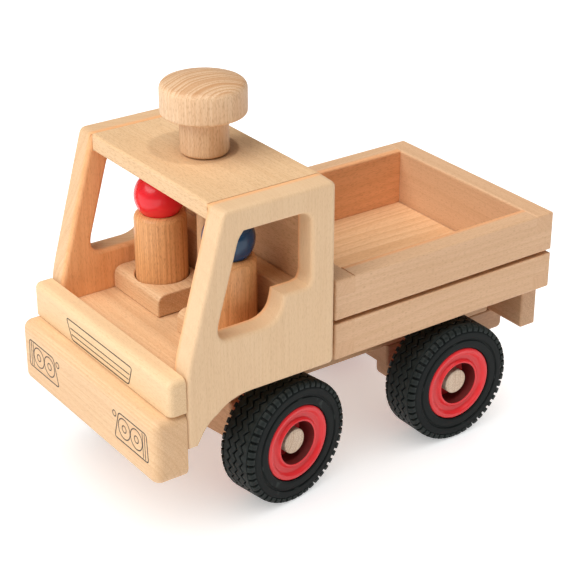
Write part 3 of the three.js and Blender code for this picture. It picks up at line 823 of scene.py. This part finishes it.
def turned(name, outline, round_steps):
    """A closed turned mesh in mm round the Z axis. The outline starts and ends on the axis, or is a
    closed loop clear of it."""
    loop = outline[0][0] > 0.01
    lathe = bmesh.new()
    rows = []
    for radius, height in outline:
        if radius < 0.01:
            rows.append([lathe.verts.new((0, 0, height))])
            continue
        rows.append([
            lathe.verts.new((radius * math.cos(a), radius * math.sin(a), height))
            for a in (2 * math.pi * i / round_steps for i in range(round_steps))
        ])
    pairs = list(zip(rows, rows[1:] + rows[:1] if loop else rows[1:]))
    for lower, upper in pairs:
        for i in range(round_steps):
            j = (i + 1) % round_steps
            corners = [lower[i % len(lower)], lower[j % len(lower)], upper[j % len(upper)], upper[i % len(upper)]]
            corners = list(dict.fromkeys(corners))
            if len(corners) > 2:
                lathe.faces.new(corners)
    bmesh.ops.recalc_face_normals(lathe, faces=lathe.faces)
    for face in lathe.faces:
        face.smooth = True
    mesh = bpy.data.meshes.new(name)
    lathe.to_mesh(mesh)
    lathe.free()
    return mesh


def turned_piece(name, outline, round_steps, centre, body, finish, slot, node, turn=Matrix.Identity(4)):
    """Turns a piece round Z in mm, stands it at its centre, given in mm, and finishes it."""
    mesh = turned(name, outline, round_steps)
    mesh.transform(Matrix.Scale(MM, 4) @ Matrix.Translation(Vector(centre)) @ turn)
    finished(bpy.data.objects.new(name, mesh), body, finish, slot, node)


knob_low, knob_high = (corner[2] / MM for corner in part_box("steering_knob"))
cap_radius = (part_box("steering_knob")[1][0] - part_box("steering_knob")[0][0]) / 2 / MM
cap_height = 21.3
cap_low = knob_high - cap_height
stem_radius = 13.8
knob_middle = middle_of("steering_knob")
turned_piece("turned_knob", rounded([
    (0, knob_low, 0), (stem_radius, knob_low, 2.2), (stem_radius, cap_low, 1.2),
    (cap_radius, cap_low, 2.0), (cap_radius, knob_high - 3.6, 4.2), (11, knob_high - 0.35, 34), (0, knob_high, 0),
]), 96, (knob_middle.x, knob_middle.y, 0), "steering", knob_beech, "beech", "steering_knob")

column_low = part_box("steering_column")[0][2] / MM
column_high = knob_low - 0.2
column_radius = 5.4
turned_piece("turned_column", rounded([
    (0, column_low, 0), (column_radius, column_low, 0.6), (column_radius, column_high, 0.1), (0, column_high, 0),
]), 48, (column_x, 0, 0), "steering", column_beech, "beech", "steering_column")


def off_the_bores(middle, along):
    """The beam's outer edges are rounded. The edges of its axle bore and column socket are not."""
    near_axle, near_column, bore_start = 10, 8, 25
    straight = Matrix.Rotation(-steer_at_rest, 3, "Z") @ (middle - Vector((column_x, 0, 0)))
    at_axle = math.hypot(straight.x, straight.z - axle_z) < near_axle and abs(straight.y) > bore_start
    at_column = math.hypot(straight.x, straight.y) < near_column
    return 0 if at_axle or at_column else 2.0


steer_at_rest = math.radians(9)
sanded("front_axle_beam", "steering", beam_beech, rule=off_the_bores, bored=True)


# ---------------------------------------------------------------- wheels
# Each wheel is a black rubber tyre on a moulded red rim, and each pair is pressed on a beech
# dowel. The tread has three zig-zag grooves between ribs, and square lugs along each shoulder.
def wheel_turn(side, steer):
    """Turns a mesh built round Z so that its face looks out to that side of the truck."""
    return Matrix.Rotation(steer, 4, "Z") @ Matrix.Rotation(-side * math.pi / 2, 4, "X")


tyre_radius = (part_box("rear_tyre_left")[1][2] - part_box("rear_tyre_left")[0][2]) / 2 / MM
tyre_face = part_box("rear_tyre_left")[1][1] / MM
tyre_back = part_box("rear_tyre_left")[0][1] / MM
tyre_middle = (tyre_face + tyre_back) / 2
half_tread = (tyre_face - tyre_back) / 2
rim_radius = 22.9
tread_base = tyre_radius - 1.5


def noise_of(tree, place, scale, detail, **inputs):
    """Fine noise over a piece: scale is in waves to the metre."""
    return add_node(
        tree, "ShaderNodeTexNoise", {"Vector": place, "Scale": scale, "Detail": detail, **inputs}
    ).outputs["Fac"]


tyre_rubber, rubber_tree, rubber_place = new_finish("black_rubber")
dust = noise_of(rubber_tree, rubber_place, 60.0, 5.0, Roughness=0.6)
skin = noise_of(rubber_tree, rubber_place, 1400.0, 2.0)
dusty = graded(rubber_tree, dust, (0.3, (0.003, 0.005, 0.005)), (0.75, (0.007, 0.010, 0.0095)))
# The rubber turns a lighter grey along sharp convex edges, a painted highlight where the rounded edges catch the light.
sharp_edges = add_node(rubber_tree, "ShaderNodeNewGeometry").outputs["Pointiness"]
painted_edge_highlight = graded(rubber_tree, sharp_edges, (0.52, 0.0), (0.62, 0.35))
highlit_rubber = add_node(
    rubber_tree, "ShaderNodeMix", {0: painted_edge_highlight, 6: dusty, 7: (0.07, 0.085, 0.08, 1)}, data_type="RGBA"
).outputs[2]
surfaced(rubber_tree, {
    "Base Color": highlit_rubber, "Roughness": graded(rubber_tree, dust, (0.0, 0.45), (1.0, 0.6)), "Specular IOR Level": 0.15,
}, skin, 0.25, 0.05 * MM)

# Half of the carcass from its inner edge over the sidewall, with its moulded ring, to the tread.
carcass_outline = rounded([
    (rim_radius + 0.35, half_tread - 1.2, 0), (rim_radius + 0.5, half_tread - 0.5, 0.5),
    (24.6, half_tread - 0.15, 0.8), (28.0, half_tread - 0.1, 0.3), (28.5, half_tread - 0.8, 0.3),
    (29.3, half_tread - 0.8, 0.3), (29.8, half_tread - 0.1, 0.4), (33.0, half_tread - 0.2, 1.2),
    (34.8, half_tread - 1.2, 1.2), (tread_base, half_tread - 3.2, 1.0), (tread_base, 0, 0),
])
mirrored = [(radius, -height) for radius, height in carcass_outline[:-1]][::-1]
carcass = turned("tyre_carcass", carcass_outline + mirrored, 144)


def joined_rows(shape, section_at, angles):
    """Sweeps a closed section of (height, radius) points through angles round the axle."""
    rows = []
    for step, angle in enumerate(angles):
        rows.append([
            shape.verts.new((r * math.cos(angle), r * math.sin(angle), h)) for h, r in section_at(step)
        ])
    for here, there in zip(rows, rows[1:]):
        for k in range(len(here)):
            m = (k + 1) % len(here)
            shape.faces.new((here[k], here[m], there[m], there[k]))
    return rows


def tread_strip(shape, left, right):
    """One pitch of a rib that runs round the tyre: left and right give its edges along the pitch."""
    steps = 4
    worn_edge = 0.35

    def section(step):
        low, high = left(step / steps), right(step / steps)
        return [
            (low, tread_base - 0.3), (low, tyre_radius - worn_edge), (low + worn_edge, tyre_radius),
            (high - worn_edge, tyre_radius), (high, tyre_radius - worn_edge), (high, tread_base - 0.3),
        ]

    joined_rows(shape, section, [2 * math.pi / zigzags * step / steps for step in range(steps + 1)])


def zigzag(middle, swing=1.15):
    """The middle line of a groove along one pitch, there and back."""
    return lambda t: middle + swing * (4 * abs(t - 0.5) - 1)


def offset(line, by):
    """One edge of a groove, beside its middle line."""
    return lambda t: line(t) + by


def repeated_round_axle(name, unit, count, material):
    """One pitch of the tread, repeated count times round the axle with geometry nodes."""
    tree = bpy.data.node_groups.new(name, "GeometryNodeTree")
    tree.is_modifier = True
    tree.interface.new_socket("Pitch", in_out="INPUT", socket_type="NodeSocketGeometry")
    times_round = tree.interface.new_socket("Count", in_out="INPUT", socket_type="NodeSocketInt")
    finish = tree.interface.new_socket("Rubber", in_out="INPUT", socket_type="NodeSocketMaterial")
    tree.interface.new_socket("Tread", in_out="OUTPUT", socket_type="NodeSocketGeometry")
    given = tree.nodes.new("NodeGroupInput")
    full_turn = add_node(
        tree, "ShaderNodeMath", {0: 2 * math.pi, 1: given.outputs["Count"]}, operation="DIVIDE"
    ).outputs[0]
    number = tree.nodes.new("GeometryNodeInputIndex").outputs[0]
    angle = add_node(tree, "ShaderNodeMath", {0: number, 1: full_turn}, operation="MULTIPLY").outputs[0]
    swing = add_node(tree, "ShaderNodeCombineXYZ", {"Z": angle}).outputs[0]
    centres = add_node(
        tree, "GeometryNodeMeshLine", {"Count": given.outputs["Count"], "Offset": (0, 0, 0)}
    ).outputs["Mesh"]
    copies = add_node(
        tree, "GeometryNodeInstanceOnPoints",
        {"Points": centres, "Instance": given.outputs["Pitch"], "Rotation": swing},
    ).outputs["Instances"]
    real = add_node(tree, "GeometryNodeRealizeInstances", {"Geometry": copies}).outputs["Geometry"]
    finished_tread = add_node(
        tree, "GeometryNodeSetMaterial", {"Geometry": real, "Material": given.outputs["Rubber"]}
    ).outputs["Geometry"]
    result = tree.nodes.new("NodeGroupOutput")
    tree.links.new(finished_tread, result.inputs["Tread"])

    pitch = bpy.data.objects.new(name, unit)
    scene.collection.objects.link(pitch)
    pattern = pitch.modifiers.new(name, "NODES")
    pattern.node_group = tree
    pattern[times_round.identifier] = count
    pattern[finish.identifier] = material
    return applied(pitch, name)


zigzags = 36
groove = 0.55
side_groove = 5.0
shoulder = 9.2
ribs = bmesh.new()
tread_strip(ribs, offset(zigzag(-side_groove), groove), offset(zigzag(0), -groove))
tread_strip(ribs, offset(zigzag(0), groove), offset(zigzag(side_groove), -groove))
tread_strip(ribs, lambda t: -shoulder, offset(zigzag(-side_groove), -groove))
tread_strip(ribs, offset(zigzag(side_groove), groove), lambda t: shoulder)
rib_pitch = bpy.data.meshes.new("rib_pitch")
ribs.to_mesh(rib_pitch)
ribs.free()

lugs = 48
lug_pitch_mesh = bmesh.new()
lug_section = [
    (9.75, tread_base - 0.4), (9.75, tyre_radius - 0.3), (10.05, tyre_radius), (11.4, tyre_radius - 0.3),
    (12.3, tyre_radius - 1.0), (12.75, tyre_radius - 2.2), (12.7, tyre_radius - 3.4), (11.6, tyre_radius - 3.6),
]
for face, stagger in ((1, 0.18), (-1, 0.68)):
    lug_rows = joined_rows(
        lug_pitch_mesh, lambda step: [(face * h, r) for h, r in lug_section],
        [2 * math.pi / lugs * (stagger + 0.62 * step / 3) for step in range(4)],
    )
    lug_pitch_mesh.faces.new(lug_rows[0][::-1])
    lug_pitch_mesh.faces.new(lug_rows[-1])
bmesh.ops.recalc_face_normals(lug_pitch_mesh, faces=lug_pitch_mesh.faces)
lug_pitch = bpy.data.meshes.new("lug_pitch")
lug_pitch_mesh.to_mesh(lug_pitch)
lug_pitch_mesh.free()

tyre_parts = bmesh.new()
tyre_parts.from_mesh(repeated_round_axle("tread_ribs", rib_pitch, zigzags, tyre_rubber))
bmesh.ops.remove_doubles(tyre_parts, verts=tyre_parts.verts, dist=0.001)
bmesh.ops.recalc_face_normals(tyre_parts, faces=tyre_parts.faces)
tyre_parts.from_mesh(repeated_round_axle("shoulder_lugs", lug_pitch, lugs, tyre_rubber))
tyre_parts.from_mesh(carcass)
tyre_mesh = bpy.data.meshes.new("tyre")
tyre_parts.to_mesh(tyre_mesh)
tyre_parts.free()


def gloss(name, deep, bright, roughness, coat):
    """Glossy moulded plastic or lacquer: slow clouds of colour and a skin with a slight orange peel."""
    material, tree, place = new_finish(name)
    cloud = noise_of(tree, place, 45.0, 4.0)
    peel = noise_of(tree, place, 420.0, 1.0)
    surfaced(tree, {
        "Base Color": graded(tree, cloud, (0.3, deep), (0.7, bright)),
        "Roughness": graded(tree, cloud, (0.0, roughness * 0.8), (1.0, roughness * 1.3)),
        "Specular IOR Level": 0.35, "Coat Weight": coat, "Coat Roughness": 0.06,
    }, peel, 0.08, 0.1 * MM)
    return material


red_plastic = gloss("red_plastic", (0.74, 0.024, 0.030), (0.78, 0.030, 0.036), 0.3, 0.12)
axle_beech = beech(
    "axle_beech", "Y", (0.93, 0.79, 0.63), (0.55, 0.33, 0.18), pith=(-58, 46), ring=1.8, rings=0.5, cut_ends=0.45,
)
rim_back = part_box("rear_rim_left")[0][1] / MM - tyre_middle
bore_radius = 7.9
inner_hub_radius = 12.6
recess_radius = 13.2
recess_floor = half_tread - 13.5
rim_outline = rounded([
    (bore_radius, rim_back, 0), (inner_hub_radius, rim_back, 0.5), (inner_hub_radius, -half_tread, 0.5),
    (rim_radius, -half_tread, 0.6),
    (rim_radius, half_tread - 0.9, 0.5), (rim_radius - 1.2, half_tread, 1.0), (rim_radius - 2.8, half_tread - 0.3, 1.2),
    (rim_radius - 4.2, half_tread - 2.3, 1.4), (15.6, half_tread - 2.6, 1.4), (14.3, half_tread - 0.7, 0.8),
    (recess_radius, half_tread - 0.8, 0.5), (recess_radius, recess_floor, 0.5), (bore_radius, recess_floor, 0),
])
rim_mesh = turned("rim", rim_outline, 96)
# The faces inside the hub recess are picked out for a dark red, a painted shade for the shadow that falls deep in the
# recess.
painted_shade_faces = [
    math.hypot(face.center.x, face.center.y) < recess_radius + 0.1 and face.center.z > 0
    for face in rim_mesh.polygons
]
painted_shade_red = gloss("painted_shade_red", (0.10, 0.010, 0.009), (0.16, 0.013, 0.012), 0.5, 0.0)
axle_radius = 7.6
half_axle = 71.4
dowel_outline = rounded([
    (0, -half_axle, 0), (axle_radius, -half_axle, 0.6), (axle_radius, half_axle, 0.6), (0, half_axle, 0),
])

for pair, body, steer in (("front", "front_wheels", steer_at_rest), ("rear", "rear_wheels", 0.0)):
    axle_middle = middle_of(f"{pair}_axle")
    for hand, side in (("left", 1), ("right", -1)):
        centre = axle_middle + Matrix.Rotation(steer, 3, "Z") @ Vector((0, side * tyre_middle, 0))
        for kind, mesh, finish, slot, crisp in (
            ("tyre", tyre_mesh, tyre_rubber, "tyre_rubber", 35), ("rim", rim_mesh, red_plastic, "red_plastic", 50),
        ):
            own = mesh.copy()
            own.transform(Matrix.Scale(MM, 4) @ Matrix.Translation(centre) @ wheel_turn(side, steer))
            piece = bpy.data.objects.new(f"{pair}_{kind}_{hand}_moulded", own)
            finished(piece, body, finish, slot, f"{pair}_{kind}_{hand}")
            for face in own.polygons:
                face.use_smooth = True
            own.set_sharp_from_angle(angle=math.radians(crisp))
            # The recess faces take the dark red of the painted shade.
            if kind == "rim":
                own.materials.append(painted_shade_red)
                for face, in_painted_shade in zip(own.polygons, painted_shade_faces):
                    face.material_index = 1 if in_painted_shade else 0
    turned_piece(
        f"{pair}_dowel", dowel_outline, 48, axle_middle, body, axle_beech, "beech", f"{pair}_axle",
        wheel_turn(1, steer),
    )


# ---------------------------------------------------------------- hinge
# A plain steel butt hinge joins the tail of the chassis to the plank under the bed. Its leaves
# are stamped from sheet, rolled round a pin, and each is held by two wood screws.
steel, steel_tree, steel_place = new_finish("zinc_plated_steel")
rolled = add_node(
    steel_tree, "ShaderNodeMapping", {"Vector": steel_place, "Scale": (900, 40, 900)}
).outputs["Vector"]
rolling_lines = noise_of(steel_tree, rolled, 1.0, 3.0)
spots = noise_of(steel_tree, steel_place, 220.0, 4.0)
surfaced(steel_tree, {
    "Base Color": graded(steel_tree, spots, (0.0, (0.38, 0.37, 0.35)), (1.0, (0.62, 0.61, 0.58))),
    "Roughness": graded(steel_tree, rolling_lines, (0.0, 0.28), (1.0, 0.5)), "Metallic": 1.0,
}, rolling_lines, 0.15, 0.05 * MM)
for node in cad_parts:
    if node.startswith("hinge_"):
        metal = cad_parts[node]
        metal.data.materials.clear()
        metal.data.materials.append(steel)


# ---------------------------------------------------------------- figures
# A driver and a passenger, each a turned peg in dark oiled beech with a lacquered wooden ball
# glued in the dish at its top. They stand loose in the recesses of the seats.
peg_beech = beech(
    "peg_beech", "Z", (0.90, 0.50, 0.22), (0.58, 0.24, 0.08), pith=(0, -58), ring=2.4, rings=0.5, streaks=0.6,
)
peg_beech.node_tree.nodes["Principled BSDF"].inputs["Coat Weight"].default_value = 0.2
blue_lacquer = gloss("blue_lacquer", (0.007, 0.042, 0.105), (0.010, 0.055, 0.135), 0.25, 0.25)
red_lacquer = gloss("red_lacquer", (0.84, 0.016, 0.026), (0.92, 0.024, 0.038), 0.25, 0.25)
for figure, lacquer, slot in (("driver", blue_lacquer, "blue_lacquer"), ("passenger", red_lacquer, "red_lacquer")):
    low, high = (Vector(corner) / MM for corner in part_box(f"{figure}_body"))
    peg_middle = middle_of(f"{figure}_body")
    head_middle = middle_of(f"{figure}_head")
    head_low, head_high = (corner[2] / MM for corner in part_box(f"{figure}_head"))
    peg_radius = (high.x - low.x) / 2
    head_radius = (head_high - head_low) / 2
    dish = head_radius + 0.12
    lip = math.sqrt(dish ** 2 - (head_middle.z - high.z) ** 2)
    lip_angle = math.atan2(high.z - head_middle.z, lip)
    dish_angles = [lip_angle + (-math.pi / 2 - lip_angle) * step / 8 for step in range(1, 8)]
    turned_piece(f"turned_{figure}", [
        *rounded([
            (0, low.z, 0), (peg_radius, low.z, 1.0), (peg_radius, high.z, 4.0), (lip + 0.05, high.z, 0),
        ]),
        (lip - 0.05, high.z - 0.05),
        *((dish * math.cos(angle), head_middle.z + dish * math.sin(angle)) for angle in dish_angles),
        (0, head_middle.z - dish),
    ], 80, (peg_middle.x, peg_middle.y, 0), figure, peg_beech, "oiled_beech", f"{figure}_body")
    turned_piece(f"ball_of_{figure}", [
        (head_radius * math.sin(math.pi * i / 40) if 0 < i < 40 else 0, -head_radius * math.cos(math.pi * i / 40))
        for i in range(41)
    ], 80, head_middle, figure, lacquer, slot, f"{figure}_head")
